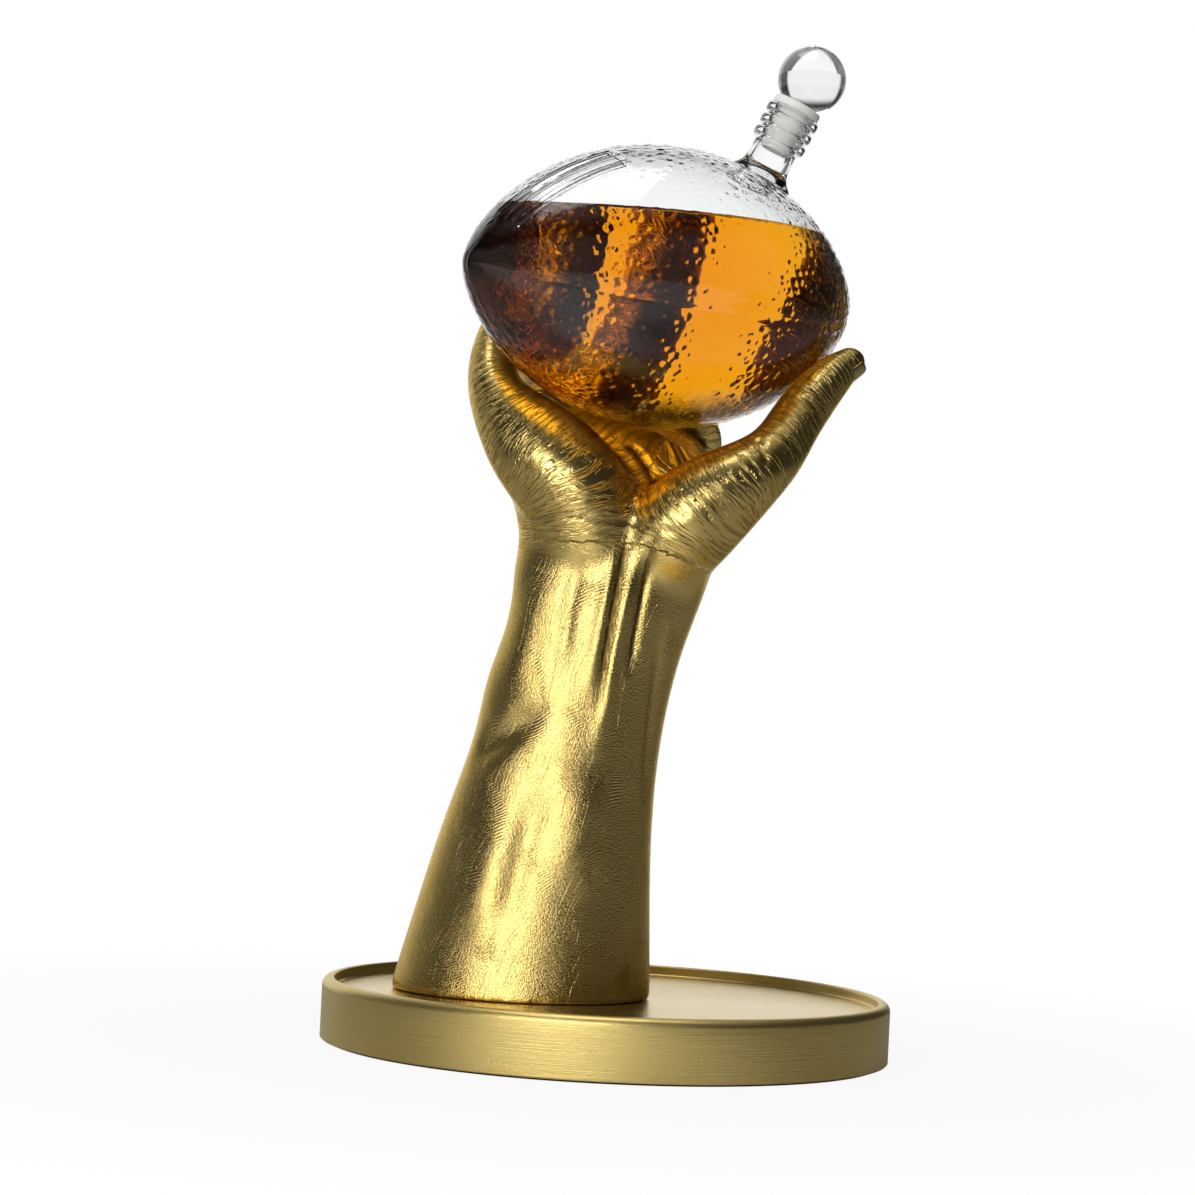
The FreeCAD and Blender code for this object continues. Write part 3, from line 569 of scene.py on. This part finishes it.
def ball_shell(name, cuts, shrink):
    """A cube cut fine, blown up to the pointed ball, drawn in by the shrink."""
    pick_only(None)
    bpy.ops.mesh.primitive_cube_add(size=2)
    piece = bpy.context.object
    piece.name = name
    open_mesh(piece)
    bpy.ops.mesh.subdivide(number_cuts=cuts)
    close_mesh()
    way = np.tan(read_points(piece) * math.pi / 4)
    way /= np.linalg.norm(way, axis=1)[:, None]
    tip, flank = BALL_TIP - shrink, FLANK - shrink
    tip_run = tip * TIP_TURN
    total = 2 * tip_run + flank * (math.pi - 2 * TIP_TURN)
    run = np.arccos(np.clip(way[:, 0], -1, 1)) / math.pi * total
    back = total - run
    side = TIP_TURN + (run - tip_run) / flank
    station = np.where(run < tip_run, BALL_REACH + tip * np.cos(run / tip), flank * np.cos(side))
    station = np.where(back < tip_run, -BALL_REACH - tip * np.cos(back / tip), station)
    girth = np.where(run < tip_run, tip * np.sin(run / tip), flank * np.sin(side) - FLANK_DROP)
    girth = np.where(back < tip_run, tip * np.sin(back / tip), girth)
    around = np.arctan2(way[:, 1], way[:, 2])
    write_points(piece, np.stack([station, girth * np.sin(around), girth * np.cos(around)], 1) * MM)
    return piece


def neck_outline():
    """Outside of the neck: a flared foot, three rounded rings and a rounded rim."""
    flare = [(4.2, -1.2), (3.4, 0.0), (2.1, 1.2), (1.0, 2.8), (0.3, 5.0), (0, 7.6)]
    outline = [(0, -1.2)] + [(NECK_RADIUS + out, rise) for out, rise in flare]
    edge = RING_RADIUS - RING_CORNER
    for k in (2, 1, 0):
        top = NECK_LENGTH - RING_PITCH * k
        outline += [(NECK_RADIUS + 0.1, top - 3.6), (NECK_RADIUS + 0.4, top - 3.2)]
        outline += round_corner((edge, top - 2.3), RING_CORNER, -80, 0, 6)
        outline += round_corner((edge, top - RING_CORNER), RING_CORNER, 0, 80, 6)
        if k:
            outline.append((NECK_RADIUS + 0.4, top + 0.2))
    outline.append((0, NECK_LENGTH))
    return outline


def drop_places():
    """Scattered places of the large glass drops on the ball, with a radius for each."""
    dice = np.random.default_rng(41)
    step = np.arange(DROP_COUNT) + 0.5
    share = 1 - 2 * step / DROP_COUNT
    around = step * math.pi * (3 - math.sqrt(5)) + dice.normal(0, 0.010, DROP_COUNT)
    share = np.clip(share + dice.normal(0, 0.010, DROP_COUNT), -1, 1)
    station = np.sin(share * math.pi / 2) * 0.5 * BALL_HALF + share * 0.5 * BALL_HALF
    girth = ball_girth(station)
    places = np.stack([station, girth * np.sin(around), girth * np.cos(around)], 1)
    kept = dice.random(DROP_COUNT) < DROP_SHARE
    return places[kept], dice.uniform(0.75, 1.35, DROP_COUNT)[kept]


def drop_heights(points, outside):
    """How high the drops stand at each point of the ball's outside."""
    places, sizes = drop_places()
    tree = kdtree.KDTree(len(places))
    for k, place in enumerate(places):
        tree.insert(place, k)
    tree.balance()
    heights = np.zeros(len(points))
    for k in np.flatnonzero(outside):
        for _, index, gap in tree.find_range(points[k], 2.0):
            share = 1 - (gap / sizes[index]) ** 2
            if share > 0:
                heights[k] = max(heights[k], 0.2 * sizes[index] * share)
    return heights


def seam_gap(around, angle, girth):
    """Distance across the ball from a seam that runs lengthwise at an angle."""
    turn = (around - math.radians(angle) + math.pi) % math.tau - math.pi
    return turn * girth


def blown_glass():
    """Ball and neck in one, with the hollow and the bore taken out."""
    bottle = ball_shell("bottle", 108, 0.0)
    neck = turned("neck", neck_outline(), 96)
    settle(neck, BALL.inverted() @ NECK)
    hollow = ball_shell("hollow", 44, GLASS_WALL)
    past = NECK_LENGTH + 3
    bore = turned("bore", [(0, -6), (NECK_BORE, -6), (NECK_BORE, past), (0, past)], 96)
    settle(bore, BALL.inverted() @ NECK)
    work(bottle, "BOOLEAN", object=neck, operation="UNION", solver="EXACT")
    work(hollow, "BOOLEAN", object=bore, operation="UNION", solver="EXACT")
    work(bottle, "BOOLEAN", object=hollow, operation="DIFFERENCE", solver="EXACT")
    for tool in (neck, hollow, bore):
        bpy.data.objects.remove(tool)
    return bottle


def make_bottle(finish):
    bottle = blown_glass()
    points = read_points(bottle) / MM
    normals = read_points(bottle, "normal")
    station = points[:, 0]
    girth = ball_girth(station)
    around = np.arctan2(points[:, 1], points[:, 2])
    foot = np.array(NECK_FOOT)
    axis = np.array([math.sin(NECK_TILT), 0, math.cos(NECK_TILT)])
    rise = (points - foot) @ axis
    from_neck = np.linalg.norm(points - foot - rise[:, None] * axis, axis=1)
    from_neck = np.where(rise > -12, from_neck, 99)
    on_skin = np.abs(np.hypot(points[:, 1], points[:, 2]) - girth) < 0.06
    outside = on_skin & (from_neck > NECK_RADIUS + 4.4)
    lace = seam_gap(around, LACE_ANGLE, girth)
    on_lace = smoothstep(7.6 - np.abs(lace), 0, 0.5)
    on_lace = on_lace * smoothstep(station, -70, -67) * smoothstep(-station, 30, 32)
    calm = smoothstep(np.abs(station), 79, 71) * (1 - on_lace) * smoothstep(from_neck, 12, 15)

    lift = drop_heights(points, outside) * calm
    for angle in SEAM_ANGLES:
        gap = np.abs(seam_gap(around, angle, girth))
        cut = -0.28 * np.exp(-((gap / 0.6) ** 2))
        lift += cut * smoothstep(np.abs(station), 77, 72)
        calm *= smoothstep(gap, 1.2, 3.0)
    edge = np.exp(-(((np.abs(lace) - 6.0) / 0.8) ** 2)) * 0.3
    bar = smoothstep(7.0 - np.abs(lace), 0, 0.9) * 0.5 - 0.45 * np.exp(-((lace / 0.8) ** 2))
    lift += (edge + bar) * on_lace
    points += normals * (lift * outside)[:, None]
    write_points(bottle, points * MM)
    note(bottle, "drops", np.where(outside, calm, 0))
    settle(bottle, BALL)
    smooth(bottle, 50)
    mount(bottle, "decanter", "clear_glass", finish, "decanter_bottle")
    return bottle


def make_liquor(finish):
    """The drink fills the hollow to its level, wets the glass and creeps up it at the edge."""
    liquor = ball_shell("drink", 60, GLASS_WALL - LIQUOR_LAP)
    settle(liquor, BALL)
    open_mesh(liquor)
    level = (0, 0, LIQUOR_LEVEL * MM)
    bpy.ops.mesh.bisect(plane_co=level, plane_no=(0, 0, 1), use_fill=True, clear_outer=True)
    bpy.ops.mesh.select_all(action="DESELECT")
    close_mesh()
    for face in liquor.data.polygons:
        face.select = len(face.vertices) > 8
    bpy.ops.object.mode_set(mode="EDIT")
    bpy.ops.mesh.select_mode(type="FACE")
    bpy.ops.mesh.inset(thickness=0.0008, depth=-0.0007)
    bpy.ops.mesh.inset(thickness=0.0012, depth=-0.0003)
    bpy.ops.mesh.select_mode(type="VERT")
    close_mesh()
    smooth(liquor, 40)
    mount(liquor, "decanter", "amber_liquor", finish, "liquor")
    return liquor


# Stopper


def make_stopper(finish):
    centre = NECK_LENGTH + STOPPER_RISE
    foot = NECK_LENGTH - PEG_LENGTH
    outline = [(0, foot)] + round_corner((PEG_RADIUS - 0.8, foot + 0.8), 0.8, -90, 0, 4)
    outline += [(PEG_RADIUS, NECK_LENGTH - 6), (PEG_RADIUS, NECK_LENGTH + 0.5)]
    outline += [(4.2, NECK_LENGTH + 2.4), (5.0, NECK_LENGTH + 3.2)]
    start = math.degrees(math.asin((NECK_LENGTH + 3.6 - centre) / STOPPER_RADIUS))
    outline += round_corner((0, centre), STOPPER_RADIUS, start, 90, 40)
    ball = turned("stopper", outline, 96)
    settle(ball, NECK)
    smooth(ball, 60)
    mount(ball, "stopper", "clear_glass", finish, "stopper_ball")
    return ball


def make_sleeve(finish):
    rib = NECK_BORE - RIB_GAP
    foot = NECK_LENGTH - SLEEVE_LENGTH
    outline = [(SLEEVE_BORE, foot)]
    for k in range(SLEEVE_RIBS):
        low = foot + SLEEVE_LENGTH / SLEEVE_RIBS * k
        outline += [(rib - 0.7, low + 0.1), (rib - 0.1, low + 1.5), (rib, low + 1.9), (rib - 0.1, low + 2.3)]
    outline += [(rib - 0.7, NECK_LENGTH - 0.05)]
    outline += round_corner((7.9, NECK_LENGTH + 0.65), 0.6, -90, 0, 4)
    outline += round_corner((7.9, NECK_LENGTH + 2.5), 0.6, 0, 90, 4)
    outline += [(SLEEVE_BORE + 1.2, NECK_LENGTH + 3.1), (SLEEVE_BORE, NECK_LENGTH + 2.4), (SLEEVE_BORE, foot)]
    sleeve = turned("sleeve", outline, 72)
    settle(sleeve, NECK)
    smooth(sleeve, 35)
    mount(sleeve, "stopper", "sleeve_plastic", finish, "stopper_sleeve")
    return sleeve


# Hand and forearm


def on_front(tree, line):
    """Lift a line drawn in the front view onto the palm side."""
    line = np.asarray(line, float)
    walk = np.concatenate([[0], np.cumsum(np.linalg.norm(np.diff(line, axis=0), axis=1))])
    steps = np.linspace(0, walk[-1], int(walk[-1] / 1.5) + 2)
    lifted = []
    for x, z in zip(np.interp(steps, walk, line[:, 0]), np.interp(steps, walk, line[:, 1])):
        place = tree.ray_cast(Vector((x * MM, -0.3, z * MM)), Vector((0, 1, 0)))[0]
        if place:
            lifted.append(np.array(place) / MM)
    return lifted


def hand_blank():
    """The cast solid, welded, made one even skin and eased where its forms meet."""
    hand = bpy.data.objects.new("hand", NODES["hand_casting"].data.copy())
    bpy.context.scene.collection.objects.link(hand)
    open_mesh(hand)
    bpy.ops.mesh.remove_doubles(threshold=1e-5)
    close_mesh()
    work(hand, "REMESH", mode="VOXEL", voxel_size=HAND_GRAIN * MM, use_smooth_shade=True)
    work(hand, "SMOOTH", factor=0.5, iterations=12)
    return hand


def rounded(rows, count=5):
    """A smooth line through the rows, with a few places on each run."""
    ends = np.vstack([2 * rows[0] - rows[1], rows, 2 * rows[-1] - rows[-2]])
    share = np.linspace(0, 1, count, endpoint=False)[:, None]
    runs = []
    for a, b, c, d in zip(ends, ends[1:], ends[2:], ends[3:]):
        bow = 2 * a - 5 * b + 4 * c - d + share * (3 * (b - c) + d - a)
        runs.append(b + 0.5 * share * (c - a + share * bow))
    return np.vstack([*runs, rows[-1:]])


def skin_ways(points):
    """Which way the skin's strokes run: round the nearest finger, or along the arm."""
    chosen = np.full(len(points), 1e9)
    ways = np.zeros((len(points), 3))
    hand = smoothstep(points[:, 2] + 0.3 * np.maximum(points[:, 0] - 5, 0), 158, 180)
    for number, (name, line) in enumerate([("arm", FOREARM), *LIMBS.items()]):
        rows = np.asarray(line, float)
        rows = rounded(np.vstack([rows[0] + 2.5 * (rows[0] - rows[1]) * (1, 1, 1, 0), rows]))
        gap, length, run, share, _ = follow(points, rows)
        girth = rows[run, 3] + share * (rows[run + 1, 3] - rows[run, 3])
        heart = rows[run, :3] + share[:, None] * (rows[run + 1, :3] - rows[run, :3])
        along = rows[run + 1, :3] - rows[run, :3]
        along /= np.linalg.norm(along, axis=1)[:, None]
        one = np.cross(along, (0.0, 1.0, 0.0))
        one /= np.linalg.norm(one, axis=1)[:, None]
        two = np.cross(along, one)
        turn = np.arctan2(((points - heart) * two).sum(1), ((points - heart) * one).sum(1))
        nearness = gap / girth + (hand * 3 if name == "arm" else (1 - hand) * 3)
        if name in BACK_FINGERS:
            nearness += 3 * smoothstep(-points[:, 1], -22, -8)
        closer = nearness < chosen
        chosen[closer] = nearness[closer]
        wrap = np.stack([turn * girth / 2, length, np.full(len(points), number * 37.0)], 1)
        ways[closer] = wrap[closer]
    return ways * MM, hand


def neighbour_mean(piece):
    """A function that averages a value per point over the neighbours of each point."""
    edges = np.empty(len(piece.data.edges) * 2, int)
    piece.data.edges.foreach_get("vertices", edges)
    one, other = edges.reshape(-1, 2).T
    size = len(piece.data.vertices)
    count = np.bincount(edges, minlength=size)

    def mean(values):
        sums = [np.bincount(one, v[other], size) + np.bincount(other, v[one], size) for v in values.T]
        return (np.array(sums) / count).T

    return mean


def hollowness(piece, points, mean):
    """How far each point lies in a hollow, from 0 to 1, after some easing; the gold is painted darker there
    as shade.
    """
    normals = read_points(piece, "normal")
    depth = ((mean(points) - points) * normals).sum(1)[:, None]
    for _ in range(4):
        depth = 0.5 * depth + 0.5 * mean(depth)
    return smoothstep(depth[:, 0], 0.010, 0.086)


def ease_wrist(hand, mean):
    """Ease the arm into the palm, give back the girth that this took, and trim the outer side."""
    points = read_points(hand) / MM
    cast = points.copy()
    wrist = smoothstep(points[:, 2], 108, 160) * smoothstep(-points[:, 2], -198, -180)
    for _ in range(WRIST_PASSES):
        points += 0.5 * wrist[:, None] * (mean(points) - points)
    write_points(hand, points * MM)
    normals = read_points(hand, "normal")
    lost = ((points - cast) * normals).sum(1)[:, None]
    for _ in range(GIRTH_PASSES):
        lost = mean(lost)
    points -= lost * normals
    outer = smoothstep(-8 - points[:, 0], 4, 24)
    points[:, 0] += 2.8 * outer * np.exp(-(((points[:, 2] - 137) / 14) ** 2))
    points[:, 0] -= 2.6 * outer * np.exp(-(((points[:, 2] - 160) / 11) ** 2))
    write_points(hand, points * MM)
    return points


def skin_relief(hand, points):
    """How far the tendons, creases and knuckles raise or sink each point."""
    pick_only(hand)
    tree = BVHTree.FromObject(hand, bpy.context.evaluated_depsgraph_get())
    lift = np.zeros(len(points))
    for line, width, height in PALM_LINES:
        gap, length, _, _, total = follow(points, on_front(tree, line))
        run_out = total * (0.38 if width > 2 else 0.2)
        fade = smoothstep(length, -0.5, run_out) * smoothstep(total - length, -0.5, run_out)
        lift += height * np.exp(-((gap / width) ** 2)) * fade
    for name in BACK_FINGERS:
        rows = np.asarray(LIMBS[name], float)
        for joint, size in KNUCKLES:
            outward = rows[joint, :3] - np.array(BALL_CENTRE)
            outward /= np.linalg.norm(outward)
            knuckle = rows[joint, :3] + outward * rows[joint, 3] / 2
            gap = np.linalg.norm(points - knuckle, axis=1)
            lift += size * np.exp(-((gap / 5.5) ** 2))
    return lift


def clear_of_ball(points):
    """Press the points out of the ball's seat; say too how near behind the ball each one lies, where the gold
    gets painted shade.
    """
    into, back = np.array(BALL.inverted()), np.array(BALL)
    local = ((points * MM) @ into[:3, :3].T + into[:3, 3]) / MM
    girth = ball_girth(local[:, 0]) + SEAT_GAP
    radius = np.hypot(local[:, 1], local[:, 2])
    # Nearness behind the ball, later painted into the gold as shade
    behind = smoothstep(girth + 5 - radius, 0, 4) * smoothstep(points[:, 1], 20, 45)
    inside = (radius < girth) & (np.abs(local[:, 0]) < BALL_REACH)
    local[inside, 1:] *= (girth / np.maximum(radius, 1e-6))[inside, None]
    return ((local * MM) @ back[:3, :3].T + back[:3, 3]) / MM, behind


def make_hand(finish):
    hand = hand_blank()
    mean = neighbour_mean(hand)
    points = ease_wrist(hand, mean)
    normals = read_points(hand, "normal")
    points += normals * skin_relief(hand, points)[:, None]
    points, behind = clear_of_ball(points)
    points[:, 2] = np.maximum(points[:, 2], TRAY_FLOOR)
    write_points(hand, points * MM)
    ways, share = skin_ways(points)
    note(hand, "skin_way", ways)
    note(hand, "hand_share", share)
    # The hollow attribute is painted shade: the depth of each hollow and the nearness behind the ball
    note(hand, "hollow", np.maximum(hollowness(hand, points, mean), 0.75 * behind))
    mount(hand, "stand", "gold_casting", finish, "hand_casting")


def make_nail(name, finish):
    """A thin curved plate on the outer side of a fingertip."""
    rows = np.asarray(LIMBS[name], float)
    tip, radius = rows[-1, :3], rows[-1, 3] / 2 + 0.35
    along = Vector(tip - rows[-2, :3]).normalized()
    outward = Vector(tip) - BALL_CENTRE
    outward = (outward - outward.dot(along) * along).normalized()
    pick_only(None)
    bpy.ops.mesh.primitive_grid_add(x_subdivisions=14, y_subdivisions=14, size=2)
    nail = bpy.context.object
    nail.name = "nail_" + name
    points = read_points(nail)
    across, way = points[:, 0], points[:, 1]
    turn = across * math.radians(58)
    ahead = 0.35 if name == "thumb" else 0.6
    front, root = ahead - 0.20 * across**2, 1.15 - 0.25 * across**2
    reach = np.where(way > 0, front * way, root * way) * radius
    crown = radius * np.cos(turn) * (1 - 0.02 * way**2)
    write_points(nail, np.stack([radius * np.sin(turn) * (1 - 0.06 * way), reach, crown], 1) * MM)
    work(nail, "SOLIDIFY", thickness=0.0007, offset=0.0)
    work(nail, "BEVEL", width=0.00018, segments=2, limit_method="ANGLE", angle_limit=math.radians(50))
    turn_to = Matrix((along.cross(outward), along, outward)).transposed().to_4x4()
    settle(nail, Matrix.Translation(Vector(tip) * MM) @ turn_to)
    smooth(nail, 50)
    mount(nail, "stand", "gold_casting", finish)


# Stage, light and camera


def make_floor():
    """A pale table, white to the camera at a distance, with white sheets on it for gold and glass."""
    pick_only(None)
    bpy.ops.mesh.primitive_circle_add(vertices=96, radius=6.0, fill_type="NGON")
    floor = bpy.context.object
    floor.name = "floor"
    f = Finish("white_table")
    place = f.object_place()
    far = f.add("ShaderNodeVectorMath", {"operation": "LENGTH"}, {0: place}, "Value")
    x, y, _ = f.apart(place)
    camera, glossy, through = f.rays("Is Camera Ray", "Is Glossy Ray", "Is Transmission Ray")
    matt = f.add("ShaderNodeBsdfPrincipled", None, {"Base Color": (0.55, 0.55, 0.55, 1), "Roughness": 0.7})
    white = f.add("ShaderNodeEmission", None, {"Color": (1, 1, 1, 1), "Strength": 1.0})
    behind = f.band(y - abs(x) * 1.5, 0.2, 0.6)
    ahead = f.band(y * -1.0 - abs(x) * 0.2, 0.15, 0.4)
    pool = (1 - f.band(abs(x + 0.04), 0.02, 0.20)) * (1 - f.band(y, -0.14, -0.06)) * f.band(y, -0.7, -0.4)
    bare = camera * (0.92 + f.band(far, 0.10, 0.4) * 0.08) + (glossy + through) * behind
    bare = bare + glossy * pool + through * f.unturned() * ahead
    surface = f.add("ShaderNodeMixShader", None, {0: bare, 1: matt, 2: white})
    f.add("ShaderNodeOutputMaterial", None, {"Surface": surface})
    floor.data.materials.append(f.material)


def make_world():
    """A studio with a white wall behind, a soft panel at the left and dark gaps between. The wall
    has other edges for what is seen through one body of glass, and the camera itself sees white."""
    world = bpy.data.worlds.new("studio")
    bpy.context.scene.world = world
    world.use_nodes = True
    f = Finish("studio", world.node_tree)
    x, y, z = f.apart(f.add("ShaderNodeTexCoord", None, None, "Generated"))
    camera, through, passed = f.rays("Is Camera Ray", "Is Transmission Ray", "Transmission Depth")
    once = through * (1 - f.band(passed, 2.4, 2.6))
    # Turn runs in radians from straight behind the object, less than 0 at the left
    turn = x.reckon("ARCTAN2", x, y)
    low = 1 - f.band(z, 0.5, 0.72)
    wall = f.band(turn, -0.95, -0.75) * (1 - f.band(turn, 0.22, 0.36))
    narrow = f.band(turn, -0.85, -0.65) * (1 - f.band(turn, 0.6, 0.72))
    wall = wall + once * (narrow * 0.9 - wall)
    strip = f.band(turn, -1.42, -1.36) * (1 - f.band(turn, -1.16, -1.10)) * (1 - f.band(z, 0.5, 0.6))
    ceiling = f.band(z, 0.72, 0.92)
    sides = through * (1 - once) * f.unturned() * f.band(abs(turn), 1.3, 1.5) * low
    light = 0.035 + wall * low * 0.965 + strip * 0.25 + ceiling * 0.3 + sides * 0.93
    level = light * (1 - camera) + camera
    colour = f.mix(level, (0, 0, 0, 1), (1, 1, 1, 1))
    shade = f.add("ShaderNodeBackground", None, {"Color": colour, "Strength": 1.0})
    f.add("ShaderNodeOutputWorld", None, {"Surface": shade})


def soft_lamp(name, place, target, size, power):
    pick_only(None)
    bpy.ops.object.light_add(type="AREA", location=place)
    lamp = bpy.context.object
    lamp.name = name
    lamp.data.shape = "RECTANGLE"
    lamp.data.size, lamp.data.size_y = size
    lamp.data.energy = power
    lamp.rotation_euler = (Vector(target) - Vector(place)).to_track_quat("-Z", "Y").to_euler()
    lamp.visible_camera = False
    return lamp


def lit_group(name, state, *pieces):
    """The pieces that a lamp is kept to, or kept from."""
    group = bpy.data.collections.new(name)
    for piece in pieces:
        group.objects.link(piece)
    for entry in group.collection_objects:
        entry.light_linking.link_state = state
    return group


def make_camera():
    """The photograph's view: almost level, and rolled a little."""
    pick_only(None)
    bpy.ops.object.camera_add()
    camera = bpy.context.object
    camera.data.sensor_width = SENSOR
    camera.data.lens = SENSOR * FOCAL_PIXELS / PHOTO_PIXELS
    pitch, roll = math.radians(0.68), math.radians(2.85)
    ahead = Vector((0, math.cos(pitch), math.sin(pitch)))
    right, up = Vector((1, 0, 0)), Vector((0, -math.sin(pitch), math.cos(pitch)))
    across = math.cos(roll) * right + math.sin(roll) * up
    upright = math.cos(roll) * up - math.sin(roll) * right
    turn_to = Matrix((across, upright, -ahead)).transposed().to_4x4()
    camera.matrix_world = Matrix.Translation(CAMERA_PLACE) @ turn_to
    bpy.context.scene.camera = camera


make_camera()
make_world()
make_floor()
front = soft_lamp("front_softbox", (-0.48, -1.30, 0.5), (0, 0, 0.2), (1.0, 0.6), 10)
soft_lamp("top_softbox", (-0.1, 0.0, 1.15), (0, 0, 0.2), (0.6, 0.6), 3.5)
through_neck = soft_lamp("neck_softbox", (-0.2, -0.6, 0.6), (0.05, 0.03, 0.32), (0.3, 0.3), 3)

make_tray(brushed_gold())
make_hand(cast_gold())
nail_gold = polished_gold()
for finger in LIMBS:
    make_nail(finger, nail_gold)
bottle = make_bottle(pebbled_glass())
drink = make_liquor(amber_liquor())
stopper = make_stopper(plain_glass())
sleeve = make_sleeve(milky_plastic())
front.light_linking.receiver_collection = lit_group("free_of_glare", "EXCLUDE", bottle, drink, stopper)
through_neck.light_linking.receiver_collection = lit_group("in_the_neck", "INCLUDE", sleeve)
through_neck.light_linking.blocker_collection = lit_group("lets_light_in", "EXCLUDE", bottle, stopper)
steel = zinc_steel()
hidden = {
    "felt_pad": black_felt(),
    "base_board": fibreboard(),
    "arm_screws": steel,
    "screw_washers": steel,
    "threaded_inserts": machined_brass(),
}
for node, finish in hidden.items():
    NODES[node].data.materials.clear()
    NODES[node].data.materials.append(finish)

bpy.context.scene.view_settings.view_transform = "Standard"
